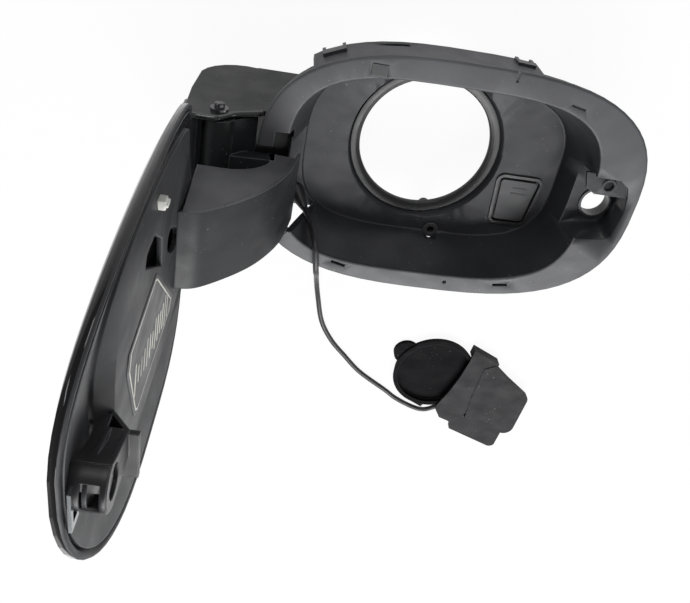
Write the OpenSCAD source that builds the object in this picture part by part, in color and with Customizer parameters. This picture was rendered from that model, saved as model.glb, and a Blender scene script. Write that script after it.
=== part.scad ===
// Charging port door housing: a flanged bowl with a hinge pocket, a curved-arm door, a press
// button and a tethered dust cap.
// The origin is the centre of the port opening on its seat. +Z points out of the port, +X runs
// along the flange away from the hinge, and the hinge axis is parallel to Y.

/* [Port] */
// Clear diameter of the port opening
port_d = 85; // [72:1:90]
// Height of the rubber seal above its seat
seal_h = 2; // [1.5:0.5:3]

/* [Flange] */
// Length of the flange along X
flange_l = 237; // [225:1:285]
// Height of the flange along Y
flange_h = 150; // [140:1:180]
// Thickness of the flange plate
flange_t = 3; // [2:0.5:4]
// Height of the flange face above the port seat
flange_z = 48; // [46:1:56]
// Depth of the skirt behind the flange plate
skirt_h = 14; // [8:1:16]

/* [Bowl] */
// Length of the bowl's mouth along X
mouth_l = 188; // [176:1:200]
// Height of the bowl's mouth along Y
mouth_h = 123; // [115:1:135]
// Length of the bowl's floor along X
floor_l = 168; // [158:1:176]
// Height of the bowl's floor along Y
floor_h = 106; // [104:1:116]
// Height of the bowl's floor above the port seat
floor_z = 7; // [6:0.5:9]
// Wall thickness of the moulded housing
wall = 2.5; // [2:0.25:3]

/* [Hinge] */
// Diameter of the hinge pin
pin_d = 6; // [4:0.5:8]
// Swing of the door from its open stop to closed, in degrees
swing = 92.5; // [60:0.5:92.5]
// Height of the hinge arm along the pin
arm_h = 45; // [34:1:46]
// Depth of the hinge pocket along the pin
pocket_h = 74; // [70:1:84]

/* [Door] */
// Length of the door skin along X when closed
door_l = 231; // [215:1:280]
// Height of the door skin along Y when closed
door_h = 143; // [136:1:174]
// Rise of the skin's crown above its long edges
crown = 14; // [10:1:18]
// Thickness of the door skin
skin_t = 2.8; // [2:0.2:3.5]

/* [Latch] */
// Diameter of the latch hole in the housing
latch_d = 18; // [12:1:20]
// Diameter of the keeper hole in the door
keeper_d = 13; // [8:1:14]

/* [Button] */
// Travel of the charge button
button_travel = 2; // [1:0.25:3]

/* [Dust cap] */
// Diameter of the cap disc
cap_d = 69; // [60:1:76]
// Diameter of the tether strap
strap_d = 4; // [3:0.5:4]

/* [Hidden] */
$fn = 48;

// Clearance of running fits, and of pieces that only seat
run_gap = 0.05;
seat_gap = 0.15;
// Points round each oval outline
oval_n = 64;

// Centre and squareness of the flange, the mouth and the bowl floor
flange_c = [11.5, -6];
flange_n = 2.8;
mouth_c = [4.6, -7.1];
floor_c = [6.5, -7];
bowl_n = 3.4;
skirt_inset = 3;
skirt_t = 2.2;
lip_r = 1.5;

// Port collar
port_r = port_d / 2;
seat_r = port_r + 6.2;
hole_r = port_r + 1.5;
collar_r = seat_r + 4.2;
collar_z = -2.5;

// Hinge pocket, in plan
pivot = [-130, flange_z + 1];
pocket_wall = 3;
pocket_top = 22;
pocket_low = pocket_top - pocket_h;
back_z = -31;
arm_top = 0;
arm_low = arm_top - arm_h;
window_low = arm_low - 6;
window_top = arm_top + 4;
sill_z = 9;

// Hub and its bushes
hub_r = 9;
bush_r = pin_d / 2 + 2;
hub_low = pocket_low + pocket_wall + 1.2;
hub_top = pocket_top - pocket_wall - 0.6;
bush_h = 8;
pin_head_top = pocket_top + 4;

// Door, in its closed place
door_c = [10.7, -9.9];
door_n = [2.36, 2.8];
crown_z = flange_z + 23.1;
end_drop = 4.8;
edge_roll = 4;
label_z = flange_z + 8.5;
panel_t = 2.6;

// Latch and keeper share one axis
latch_c = [112, -12];
latch_z = 28;
keeper_z = flange_z + 0.8;

// Button recess centre on the bowl floor
button_c = [68.2, -28.5];
button_top = floor_z + 1;
button_deep = 5;
switch_z = -6;

// Drain at the low edge of the bowl floor
drain_c = [16, -58];
drain_r = 4.2;
drain_bore = 2.6;

// Tether boot on the sill, and the strap's route to the cap
boot_at = [-79, -41.5, sill_z];
boot_dir = [0.46, -0.4, 0.79];
boot_h = 15;
strap_route = [
    boot_at + boot_h * boot_dir,
    [-67.8, -50.8, 33],
    [-65.2, -54.5, 43.5],
    [-63.8, -58.5, 49.6],
    [-62.8, -63.5, 51],
    [-61.8, -70, 51.2],
    [-60.8, -76, 49.8],
    [-59.6, -82, 43.5],
    [-58.6, -88, 33],
    [-57, -98, 18],
    [-55, -109, 2],
    [-52.5, -124, -14],
    [-48, -146, -25],
    [-41, -172, -28.7],
    [-30.4, -190, -29],
    [-17.6, -204, -29],
    [-1.5, -220, -29],
    [23, -236.6, -29],
    [34.5, -244.9, -29],
    [50.5, -252.4, -28.8],
    [61.5, -253.5, -28],
    [72, -247, -27]];

// Cap on the floor, turned so that its grip points away from the strap
cap_at = [60, -211, back_z];
cap_turn = -27.5;
cap_t = 6;
grip_t = 9;

function pw(v, e) = sign(v) * pow(abs(v), e);
// Oval outline with half sizes a and b round centre c, of squareness n, or n[0] on its -X half
function oval(c, a, b, n, k = oval_n) =
    [for (i = [0 : k - 1])
        let (t = 360 * (i + 0.5) / k, e = 2 / (is_list(n) ? (cos(t) < 0 ? n[0] : n[1]) : n))
            [c[0] + a * pw(cos(t), e), c[1] + b * pw(sin(t), e)]];
function lift(pts, z) = [for (p = pts) [p[0], p[1], z]];
function flange_pts(g) = oval(flange_c, flange_l / 2 + g, flange_h / 2 + g, flange_n);
function mouth_pts(g) = oval(mouth_c, mouth_l / 2 + g, mouth_h / 2 + g, bowl_n);
function floor_pts(g) = oval(floor_c, floor_l / 2 + g, floor_h / 2 + g, bowl_n);
// Each outline point pushed away from centre c by g
function spread(pts, c, g) = [for (p = pts) p + g * (p - c) / norm(p - c)];
// Arc of k steps round c from angle a0 to a1
function arc(c, r, a0, a1, k = 8) =
    [for (i = [0 : k]) let (t = a0 + (a1 - a0) * i / k) [c[0] + r * cos(t), c[1] + r * sin(t)]];
// Outer surface height of the closed door
function skin_z(p) = crown_z - crown * pow((p[1] - door_c[1]) / (door_h / 2), 2)
    - end_drop * pow((p[0] - door_c[0]) / (door_l / 2), 2);
function on_skin(pts, drop) = [for (p = pts) [p[0], p[1], skin_z(p) - drop]];

// Closed solid through a stack of rings with the same number of points, lowest ring first
module loft(rings) {
    n = len(rings[0]);
    m = len(rings);
    polyhedron(
        points = [for (r = rings) each r],
        faces = concat(
            [[for (i = [0 : n - 1]) i]],
            [for (j = [0 : m - 2], i = [0 : n - 1])
                let (a = j * n + i, b = j * n + (i + 1) % n) each [[a, a + n, b + n], [a, b + n, b]]],
            [[for (i = [n - 1 : -1 : 0]) (m - 1) * n + i]]),
        convexity = 6);
}

// Plate of a 2D outline between two heights
module slab(pts, z0, z1) {
    translate([0, 0, z0]) linear_extrude(z1 - z0) polygon(pts);
}

// Profile in the XZ plane drawn out along Y between y0 and y1
module across(pts, y0, y1) {
    translate([0, y1, 0]) rotate([90, 0, 0]) linear_extrude(y1 - y0) polygon(pts);
}

// Cylinder parallel to Y between y0 and y1
module bar_y(x, z, r, y0, y1) {
    translate([x, y1, z]) rotate([90, 0, 0]) cylinder(r = r, h = y1 - y0);
}

// Turns what is drawn in the closed place back to the open stop
module opened() {
    translate([pivot[0], 0, pivot[1]]) rotate([0, -swing, 0])
        translate([-pivot[0], 0, -pivot[1]]) children();
}

// Housing moulding
module flange_body() {
    face = flange_z;
    slab(flange_pts(0), face - flange_t, face - 1.2);
    loft([lift(flange_pts(0), face - 1.2), lift(flange_pts(-0.4), face - 0.4),
        lift(flange_pts(-1.4), face)]);
    difference() {
        slab(flange_pts(-skirt_inset), face - flange_t - skirt_h, face - flange_t);
        slab(flange_pts(-skirt_inset - skirt_t), face - flange_t - skirt_h - 1, face);
    }
}

module bowl_outer(g = 0) {
    loft([lift(floor_pts(wall + g), floor_z - wall - g),
        lift(mouth_pts(wall + g), flange_z - flange_t)]);
}

// Deep part of the skirt along the top, between the two body clips
deep_x = [-80, 52];
deep_z = 11;

module deep_skirt() {
    intersection() {
        difference() {
            slab(flange_pts(-skirt_inset), deep_z, flange_z - flange_t);
            slab(flange_pts(-skirt_inset - skirt_t), deep_z - 1, flange_z);
        }
        translate([deep_x[0], 20, deep_z - 1]) cube([deep_x[1] - deep_x[0], 80, 60]);
    }
}

module bowl_inner() {
    loft([lift(floor_pts(-1.2), floor_z), lift(floor_pts(0), floor_z + 1.2),
        lift(mouth_pts(0), flange_z - lip_r), lift(mouth_pts(0.5), flange_z - 0.4),
        lift(mouth_pts(lip_r), flange_z + 0.01)]);
}

// Latch pocket at the far end, seen from the front
latch_pts = [[88, -24], [93, -30], [117, -28], [121, -25], [123.4, -8], [122, 3], [120, 9],
    [114, 13.5], [92, 13.5]];

module latch_tub() {
    slab(spread(latch_pts, latch_c, wall), latch_z - 3.2, flange_z - flange_t);
    // Boss round the latch hole, behind the plate
    translate([latch_c[0], latch_c[1], latch_z - 8]) cylinder(r = latch_d / 2 + 2, h = 8);
}

module latch_cut() {
    slab(latch_pts, latch_z, flange_z + 1);
    translate([latch_c[0], latch_c[1], latch_z - 12])
        cylinder(r = latch_d / 2 + 1, h = 20);
}

// Small ear with an eye that bridges the top of the latch pocket
ear_z = flange_z - 5;
ear_eye = [108.5, 8];

module latch_ear() {
    difference() {
        union() {
            slab([[95, 5], [101, 1.5], [121.5, 1.5], [124, 6], [116, 15], [92, 15]], ear_z,
                ear_z + 2.5);
            translate([ear_eye[0], ear_eye[1], ear_z]) cylinder(r = 4.6, h = 3.3);
        }
        translate([ear_eye[0], ear_eye[1], ear_z - 1]) cylinder(r = 3.2, h = 6);
    }
}

// Trapezium of the button recess with rounded corners, grown by g
function button_pts(g) = let (r = 3.2 + g) concat(
    arc([77.6, -15.6], r, 80, 0), arc([74.4, -41.2], r, -10, -100),
    arc([58.4, -41.2], r, -100, -180), arc([56.6, -15.6], r, 180, 100));

hinge_cut_pts = [[-135, window_top], [-97.7, window_top], [-97.7, window_top + 9.5],
    [-86.2, window_top + 9.5], [-86.2, window_top], [-70, window_top], [-70, window_low],
    [-83, window_low], [-91, window_low - 12], [-135, window_low - 12]];

module window_cut() {
    slab([for (p = hinge_cut_pts) if (p[0] > -134) p], flange_z - flange_t - skirt_h - 1,
        flange_z + 1);
    slab(hinge_cut_pts, flange_z - flange_t - skirt_h - 1, flange_z + 1);
    translate([-112, window_low, sill_z]) cube([46, window_top - window_low, flange_z - sill_z]);
}

module housing() color("#2a2c2f") {
    shell();
    latch_ear();
}

module shell() difference() {
    union() {
        flange_body();
        deep_skirt();
        bowl_outer();
        latch_tub();
        translate([0, 0, collar_z]) cylinder(r = collar_r, h = floor_z - collar_z, $fn = 96);
        // Sill under the arm's window
        translate([-86, window_low, floor_z - wall])
            cube([24, window_top - window_low, sill_z - floor_z + wall]);
        // Spigot behind the drain
        translate([drain_c[0], drain_c[1], floor_z - wall - 6]) cylinder(r = drain_r + 2, h = 7);
    }
    bowl_inner();
    window_cut();
    latch_cut();
    translate([0, 0, collar_z - 1]) cylinder(r = hole_r, h = 20, $fn = 96);
    cylinder(r1 = seat_r, r2 = seat_r + 1.9, h = floor_z + 0.01, $fn = 96);
    slab(button_pts(1.6), floor_z - wall - 2, floor_z + 4);
    // Slot in the skirt's top side
    translate([-50, skirt_y(-38) - 1.3, 15]) cube([24, 6, 4.5]);
    translate([drain_c[0], drain_c[1], -20]) cylinder(r = drain_r + run_gap, h = 24);
    translate([drain_c[0], drain_c[1], floor_z]) cylinder(r = drain_r + 1.2, h = 8);
    translate([drain_c[0], drain_c[1], 0]) cylinder(r = drain_r + run_gap, h = 10);
    // Pad seat and the slots of the flange
    translate([-49.6, 54, flange_z - 1]) cube([9.2, 7, 3]);
    for (s = [[-47.5, -69.5, -14], [61, -70.8, 8]])
        translate([s[0], s[1], flange_z - 1]) rotate(s[2]) cube([10, 2, 3], center = true);
    translate([32.4, 65.5, flange_z]) cube([1.6, 6, 2], center = true);
    translate([72, 53.8, flange_z]) rotate(-12) cube([9, 1.4, 2], center = true);
    translate([23.8, -73.7, flange_z - flange_t - 1]) cylinder(r = 1.4, h = 8);
}

// Rubber ring in the collar
module port_seal() color("#17181a") rotate_extrude($fn = 96) polygon([
    [port_r, collar_z], [hole_r - run_gap, collar_z], [hole_r - run_gap, 0], [seat_r - 0.3, 0],
    [seat_r - 0.3, seal_h], [port_r + 2.7, seal_h], [port_r + 2.1, seal_h - 0.8],
    [port_r + 0.8, seal_h - 0.8], [port_r, seal_h - 1.5]]);

module drain_spout() color("#1d1e20") difference() {
    union() {
        translate([drain_c[0], drain_c[1], floor_z]) cylinder(r = drain_r + 1, h = 1.4);
        translate([drain_c[0], drain_c[1], back_z]) cylinder(r = drain_r, h = floor_z - back_z);
    }
    translate([drain_c[0], drain_c[1], back_z - 1]) cylinder(r = drain_bore, h = 60);
}

// Button, its frame, spring and switch
module button_bezel() color("#232527") difference() {
    union() {
        slab(button_pts(1.5), floor_z - wall - 1.5, floor_z);
        slab(button_pts(2.3), floor_z, floor_z + 1.2);
    }
    slab(button_pts(0.3), floor_z - wall - 3, floor_z + 3);
}

module charge_button() color("#303236") difference() {
    union() {
        slab(button_pts(0), button_top - button_deep, button_top - 2.2);
        slab(button_pts(-1.4), button_top - 2.2, button_top);
        // Two raised bars above the bare middle
        for (y = [-19.2, -23])
            translate([button_c[0], y, button_top]) cube([10, 1, 0.5], center = true);
    }
    translate([button_c[0], button_c[1], button_top - button_deep - 1]) cylinder(r = 6, h = 4);
}

module button_spring() color("#9a9c9f") spring([button_c[0], button_c[1]],
    switch_z + 1, button_top - button_deep + 3, 4.4, 0.8, 4);

// Plain tube that stands for a coil's outline
module spring(c, z0, z1, r, wire, turns) {
    translate([c[0], c[1], z0]) difference() {
        cylinder(r = r, h = z1 - z0);
        translate([0, 0, -1]) cylinder(r = r - wire, h = z1 - z0 + 2);
    }
}

module button_switch() color("#1b1c1e") difference() {
    union() {
        slab(button_pts(1.5), switch_z, floor_z - wall - 1.5);
        translate([button_c[0] - 9, button_c[1] - 5, switch_z - 8]) cube([18, 10, 8]);
    }
    slab(button_pts(0.4), button_top - button_deep - button_travel - 0.3, floor_z);
    translate([button_c[0] - 7.5, button_c[1] - 3.5, switch_z - 9]) cube([15, 7, 7]);
    translate([button_c[0], button_c[1], switch_z + 1]) cylinder(r = 4.6, h = 12);
}

module latch_bush() color("#3a3c3f") translate([latch_c[0], latch_c[1], latch_z]) difference() {
    union() {
        translate([0, 0, -8]) cylinder(r = latch_d / 2 + 1 - run_gap, h = 8);
        cylinder(r = latch_d / 2 + 1.6, h = 1);
    }
    translate([0, 0, -9]) cylinder(r = latch_d / 2, h = 20);
}

// Y of the skirt's outer face at x, on the top side
function skirt_y(x) = flange_c[1] + (flange_h / 2 - skirt_inset) * pow(1
    - pow(abs(x - flange_c[0]) / (flange_l / 2 - skirt_inset), flange_n), 1 / flange_n);

// Retaining clip against the deep skirt, centred at x and w wide
module body_clip(x, w) {
    y = skirt_y(x);
    slope = (skirt_y(x + w / 2) - skirt_y(x - w / 2)) / w;
    difference() {
        translate([x, y - 2, deep_z + 2]) rotate(atan(slope)) translate([-w / 2, 0, 0])
            difference() {
                cube([w, 3.6, 11]);
                translate([2, 2.4, -1]) cube([w - 4, 4, 8]);
            }
        slab(flange_pts(seat_gap - skirt_inset), deep_z, flange_z);
    }
}

module body_clip_left() color("#55585c") body_clip(-68, 14);
module body_clip_right() color("#55585c") body_clip(43, 11);

module flange_pad() color("#4a4c50") translate([-49.4, 54.2, flange_z - 1]) cube([8.8, 6.6, 1.5]);

// Hinge pocket
pocket_pts = concat([[-84, 41], [-84, back_z], [-112, back_z]],
    arc([-119, -3], 28, -75, -165, 6),
    [[-148.6, 20], [-149, 48]], arc([-143, 52], 6, 180, 90, 4),
    [[-132, 58], [-128, 55], [-122, 49], [-105, 41]]);
pocket_in_pts = concat([[-80, 66], [-80, 12], [-87, 4], [-87, back_z + 3], [-112, back_z + 3]],
    arc([-119, -3], 25, -75, -165, 6), [[-145.6, 20], [-146, 48], [-144, 55], [-132, 66]]);

module hinge_box() color("#26282b") difference() {
    union() {
        across(pocket_pts, pocket_low, pocket_top);
        // Rounded front lip of the top plate
        for (s = [[-145, 55], [-132, 55]]) bar_y(s[0] + (s[0] < -140 ? 1 : 0), s[1], 3,
            pocket_top - pocket_wall, pocket_top);
    }
    across(pocket_in_pts, pocket_low + pocket_wall, pocket_top - pocket_wall);
    bar_y(pivot[0], pivot[1], pin_d / 2 + run_gap, pocket_low - 1, pocket_top + 1);
    bowl_outer(seat_gap);
    slab(flange_pts(-skirt_inset + seat_gap), flange_z - flange_t - skirt_h - seat_gap, 70);
    slab(flange_pts(seat_gap), flange_z - flange_t - seat_gap, 70);
    slab(hinge_cut_pts, sill_z, 70);
    translate([-86 - seat_gap, window_low - seat_gap, floor_z - wall - seat_gap])
        cube([30, window_top - window_low + 2 * seat_gap, 60]);
    translate([0, 0, collar_z - 1]) cylinder(r = collar_r + 1, h = 20);
}

module hinge_pin() color("#8f9194") {
    bar_y(pivot[0], pivot[1], pin_d / 2, pocket_low - 3, pin_head_top);
    bar_y(pivot[0], pivot[1], pin_d / 2 + 2, pocket_low - 5, pocket_low - seat_gap);
}

// Push-on ring under the pin's dome
module pin_clip() color("#6c6f73") difference() {
    bar_y(pivot[0], pivot[1], pin_d / 2 + 2.2, pocket_top, pocket_top + 1.6);
    bar_y(pivot[0], pivot[1], pin_d / 2, pocket_top - 1, pocket_top + 3);
}

// Torsion spring round the pin, inside the hub between its bushes
module hinge_spring() color("#a2a4a7") difference() {
    bar_y(pivot[0], pivot[1], bush_r - 0.2, hub_low + bush_h + 0.3, hub_top - bush_h - 0.3);
    bar_y(pivot[0], pivot[1], pin_d / 2 + 0.3, hub_low, hub_top);
}

// Turns a closed XZ point, relative to the pivot, to its open place
function open_of(p) = [cos(swing) * p[0] - sin(swing) * p[1], sin(swing) * p[0] + cos(swing) * p[1]];
// Curved arm, in its open place: outline points in XZ relative to the pivot
arm_outer = smooth([open_of([83.4, label_z - pivot[1]]), [0, 80], [14, 68], [26, 54.5], [35, 40],
    [42, 24], [46, 8], [49, -7]], 3);
arm_inner = smooth([[30, -7], [31.5, 1], [30, 8], [24.5, 14.5], [17, 19], [8, 21],
    open_of([21, label_z - pivot[1]])], 3);

module at_pivot() {
    translate([pivot[0], 0, pivot[1]]) children();
}

module arm_profile(inset_outer, inset_inner, y0, y1) {
    c = [15, 40];
    at_pivot() across(concat(spread(arm_outer, c, -inset_outer),
        spread(arm_inner, c, -inset_inner)), y0, y1);
}

module hinge_arm() color("#34363a") difference() {
    union() {
        arm_profile(0, 0, arm_low, arm_top);
        // Web from the hub to the arm's root
        at_pivot() across([[0, -5], [34, -6.5], [34, 2.5], [0, 4]], arm_low, arm_top - 2);
        bar_y(pivot[0], pivot[1], hub_r, hub_low, hub_top);
    }
    // Shelf behind the raised rim, and the hollow underside
    arm_profile(3, 0, arm_top - 2, arm_top + 1);
    arm_profile(3, 3, arm_low - 1, arm_top - 6);
    bar_y(pivot[0], pivot[1], bush_r + run_gap, hub_low - 1, hub_top + 1);
}

module hub_bush(y0, y1) {
    difference() {
        bar_y(pivot[0], pivot[1], bush_r, y0, y1);
        bar_y(pivot[0], pivot[1], pin_d / 2 + run_gap, y0 - 1, y1 + 1);
    }
}

module hub_bush_low() color("#c9cac6") hub_bush(hub_low - 0.8, hub_low + bush_h);
module hub_bush_high() color("#c9cac6") hub_bush(hub_top - bush_h, hub_top + 0.4);

// Door pieces, drawn closed
function door_pts(g) = oval(door_c, door_l / 2 + g, door_h / 2 + g, door_n);
function door_ring(f, drop) =
    on_skin(oval(door_c, f * (door_l / 2 - 1.2), f * (door_h / 2 - 1.2), door_n), drop);

module door_skin() color("#0b0c0e") opened() {
    steps = [0.12, 0.35, 0.55, 0.72, 0.86, 0.95];
    loft(concat(
        [for (f = steps) door_ring(f, skin_t)],
        [on_skin(door_pts(-3), skin_t), on_skin(door_pts(-2.2), edge_roll + 0.6),
            on_skin(door_pts(-0.6), edge_roll + 0.4), on_skin(door_pts(0), edge_roll - 0.8),
            on_skin(door_pts(-0.3), 0.6)],
        [for (i = [len(steps) - 1 : -1 : 0]) door_ring(steps[i], 0)]));
}

// Panel outline on the label face, and where its wall meets the skin
panel_c = [-5, -18];
panel_l = 166;
panel_h = 87;
// Drop of the panel's thin flange below the skin's outer surface, and its thickness
panel_seat = skin_t + 0.6;
tier_t = 1.8;
tier_inset = 9;
function panel_pts(g) = oval(panel_c, panel_l / 2 + g, panel_h / 2 + g, 4);
function tier_z(p) = skin_z(p) - panel_seat - tier_t;

module door_panel() color("#2c2e31") opened() difference() {
    loft([lift(panel_pts(0), label_z), on_skin(panel_pts(2), panel_seat + tier_t),
        on_skin(door_pts(-tier_inset), panel_seat + tier_t), on_skin(door_pts(-tier_inset), panel_seat),
        on_skin(panel_pts(0), panel_seat), lift(panel_pts(-2.6), label_z + panel_t)]);
    // Pocket beside the arm's foot, and the bean-shaped hole
    slab([[-8, 8], [10, 20.5], [26, 20.5], [28.5, 15], [-9, -7]], label_z - 1, label_z + panel_t + 1);
    translate([-36, -9, 0]) rotate(28)
        slab(oval([0, 0], 16, 6.5, 2.4), label_z - 1, label_z + panel_t + 1);
}

// Keeper with its eye over the latch
keeper_c = [latch_c[0] - 1, latch_c[1] - 3];
keeper_t = 1.6;
hook_x = 87.6;
hook_y = -14;
rib_t = 2.4;

// Upright wall between corners p and q, from z0 nearly up to the panel's flange
module upright(p, q, z0) {
    top = min(tier_z(p), tier_z(q)) - 0.6;
    translate([p[0], p[1], z0]) cube([q[0] - p[0], q[1] - p[1], top - z0]);
}

module keeper_bracket() color("#292b2e") opened() difference() {
    c = keeper_c;
    neck = panel_c[0] + panel_l / 2 + 0.6;
    top = [c[0] + 2, c[1] + keeper_d / 2 + 3.4];
    union() {
        // Eye plate, and the back plate behind the latch
        for (z = [keeper_z, keeper_z + 6.4])
            slab(concat(arc(c, keeper_d / 2 + 3.6, -90, 70, 10), [[hook_x, hook_y], [hook_x, c[1] - 10]]),
                z, z + keeper_t);
        // Side wall, slanted towards the latch
        slab([[hook_x, hook_y - rib_t], [hook_x + 6, hook_y - rib_t], [top[0], top[1] - rib_t], top,
            [hook_x + 6, hook_y], [hook_x, hook_y]], keeper_z, tier_z(top) - 0.6);
        upright([neck + 2.4, hook_y - rib_t], [hook_x, hook_y], label_z);
        // Sloping neck from the panel, and the hooked end rib
        across([[neck, label_z + 0.2], [hook_x + 0.2, keeper_z], [hook_x + 0.2, keeper_z + 2],
            [neck, label_z + 2.2]], hook_y - 24, hook_y);
        upright([hook_x, hook_y - 22], [hook_x + rib_t, hook_y], keeper_z - 3.8);
    }
    translate([c[0], c[1], keeper_z - 1]) cylinder(r = keeper_d / 2, h = keeper_t + 2);
}

module skin_clip() color("#b9bbbe") opened() {
    at = [keeper_c[0] + 5.2, keeper_c[1] - 12];
    translate([at[0], at[1], tier_z([at[0] + 8, at[1]]) - 1.4]) difference() {
        cube([8, 18, 1.2]);
        for (y = [3, 10]) translate([2, y, -1]) cube([4, 5, 4]);
    }
}

module edge_clip() color("#e6e6e2") opened()
    translate([-2, panel_c[1] + panel_h / 2 + 3.6, tier_z([0, 28]) - 5.2]) cube([6, 2.4, 4]);

label_pts = [[6, -2], [57, -6], [60, -14], [46, -48], [42, -51], [-37, -51], [-42, -46], [2, -4]];

module label_plate() color("#3b3d41") opened()
    slab(label_pts, label_z - 0.4, label_z);

// Tether
module tether_boot() color("#1c1d1f") hull() {
    translate(boot_at) cylinder(r = 5.5, h = 1.5, $fn = 32);
    translate(boot_at + boot_h * boot_dir) aim(boot_dir) translate([0, 0, -1])
        cylinder(r = strap_d / 2 + 0.3, h = 1, $fn = 24);
}

module aim(d) {
    rotate([0, acos(d[2] / norm(d)), atan2(d[1], d[0])]) children();
}

// Point and direction on a smooth curve through the route's points
function hermite(a, b, ta, tb, s) = (2 * s * s * s - 3 * s * s + 1) * a + (s * s * s - 2 * s * s + s) * ta
    + (3 * s * s - 2 * s * s * s) * b + (s * s * s - s * s) * tb;
function tangent(p, i) = let (n = len(p) - 1)
    i == 0 ? p[1] - p[0] : i == n ? p[n] - p[n - 1] : (p[i + 1] - p[i - 1]) / 2;
function smooth(p, k) = concat(
    [for (i = [0 : len(p) - 2], j = [0 : k - 1])
        hermite(p[i], p[i + 1], tangent(p, i), tangent(p, i + 1), j / k)], [p[len(p) - 1]]);
function unit(v) = v / norm(v);
function ring_at(p, d, r, k) = let (u = unit(cross(d, [0.3, 0.2, 1])), w = unit(cross(u, d)))
    [for (i = [0 : k - 1]) p + r * (cos(360 * i / k) * u + sin(360 * i / k) * w)];

module tether_strap() color("#1c1d1f") {
    line = smooth(strap_route, 3);
    n = len(line) - 1;
    loft([for (i = [0 : n]) let (d = line[min(i + 1, n)] - line[max(i - 1, 0)])
        ring_at(line[i], d, strap_d / 2, 8)]);
}

// Cap, drawn with its disc at the centre and the grip along +X
module on_cap() {
    translate(cap_at) rotate(cap_turn) children();
}

module cap_disc() color("#1e1f22") on_cap() difference() {
    union() {
        cylinder(d1 = cap_d - 3, d2 = cap_d, h = cap_t, $fn = 96);
        // Finger tab, and the lug beside the strap
        translate([-32, 3, 0]) cylinder(r = 10.5, h = cap_t - 1.6);
        translate([0, -35, 0]) cube([15, 10, cap_t - 1]);
    }
    translate([0, 0, 2]) cylinder(d = cap_d - 7, h = cap_t, $fn = 96);
}

// Band over the disc, raised blade of the grip, and the low tab under it
band_pts = [[10, 40], [36.4, 40.6], [38, 36], [38.3, 10], [50, -16], [48.6, -31.6], [34, -33.2],
    [24, -27], [23, -22], [21.8, -6], [18.7, 11.7], [14.5, 27]];
blade_pts = concat([[29.3, 29.3], [34.8, 38.1], [54.2, 33.6]], arc([76.5, 20.5], 9, 78, 15, 5),
    arc([89, -8], 8, 20, -82, 7), [[52.5, -20.5], [40, 4]]);
tab_pts = concat([[46, -14], [46, -31], [52.7, -40.5]], arc([94.5, -32], 5, -85, 0, 5),
    [[92, -12]]);

module cap_grip() color("#3c3e42") on_cap() difference() {
    union() {
        slab(band_pts, 0, grip_t - 0.6);
        slab(blade_pts, grip_t - 4.4, grip_t);
        slab(tab_pts, 0, grip_t - 4);
    }
    translate([0, 0, -1]) cylinder(d = cap_d + 0.6, h = cap_t + 1.2, $fn = 96);
}

housing();
hinge_box();
port_seal();
drain_spout();
button_bezel();
charge_button();
button_spring();
button_switch();
latch_bush();
body_clip_left();
body_clip_right();
flange_pad();
hinge_pin();
pin_clip();
hinge_spring();
hinge_arm();
hub_bush_low();
hub_bush_high();
door_panel();
door_skin();
keeper_bracket();
skin_clip();
edge_clip();
label_plate();
tether_boot();
tether_strap();
cap_disc();
cap_grip();
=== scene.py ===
import math

import bmesh
import bpy
from mathutils import Matrix, Vector


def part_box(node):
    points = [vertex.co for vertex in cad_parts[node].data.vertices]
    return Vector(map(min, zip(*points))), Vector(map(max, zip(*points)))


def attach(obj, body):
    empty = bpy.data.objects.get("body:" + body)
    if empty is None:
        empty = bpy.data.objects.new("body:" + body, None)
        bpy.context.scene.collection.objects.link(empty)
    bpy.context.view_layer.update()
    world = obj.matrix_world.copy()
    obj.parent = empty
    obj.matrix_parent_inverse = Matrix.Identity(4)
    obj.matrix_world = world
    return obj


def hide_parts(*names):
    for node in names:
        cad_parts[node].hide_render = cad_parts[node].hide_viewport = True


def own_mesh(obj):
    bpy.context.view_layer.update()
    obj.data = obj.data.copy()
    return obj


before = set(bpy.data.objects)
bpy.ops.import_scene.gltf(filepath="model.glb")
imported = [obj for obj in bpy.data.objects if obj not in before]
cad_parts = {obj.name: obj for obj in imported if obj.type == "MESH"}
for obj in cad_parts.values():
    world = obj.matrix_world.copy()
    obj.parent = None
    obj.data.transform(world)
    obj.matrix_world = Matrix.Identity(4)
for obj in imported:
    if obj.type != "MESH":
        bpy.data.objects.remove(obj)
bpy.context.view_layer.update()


# Camera. It looks down on the housing, which lies on its back with its door open,
# from above the flange's top edge, at the photograph's viewing angle.
def put(name, data):
    """An object of this mesh, curve, lamp or camera, linked to the scene."""
    piece = bpy.data.objects.new(name, data)
    bpy.context.scene.collection.objects.link(piece)
    return piece


lens = bpy.data.cameras.new("camera")
lens.lens = 40.64
lens.sensor_width = 36.0
lens.clip_start = 0.01
camera = put("camera", lens)
camera.matrix_world = Matrix((
    (0.98488, -0.11399, -0.13046, -0.10533),
    (0.16809, 0.81104, 0.56031, 0.19116),
    (0.04194, -0.57377, 0.81794, 0.47027),
    (0.0, 0.0, 0.0, 1.0)))
bpy.context.scene.camera = camera


# Tether of the dust cap. A limp round rubber strap, moulded in one length: it leaves its boot
# beside the hinge, goes over the flange's edge and down to the floor, and ends in the cap's grip.
def finish(name, colour, metallic, roughness):
    material = bpy.data.materials.new(name)
    material.use_nodes = True
    shader = material.node_tree.nodes["Principled BSDF"]
    shader.inputs["Base Color"].default_value = (*colour, 1.0)
    shader.inputs["Metallic"].default_value = metallic
    shader.inputs["Roughness"].default_value = roughness
    return material, material.node_tree.nodes, material.node_tree.links, shader


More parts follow.
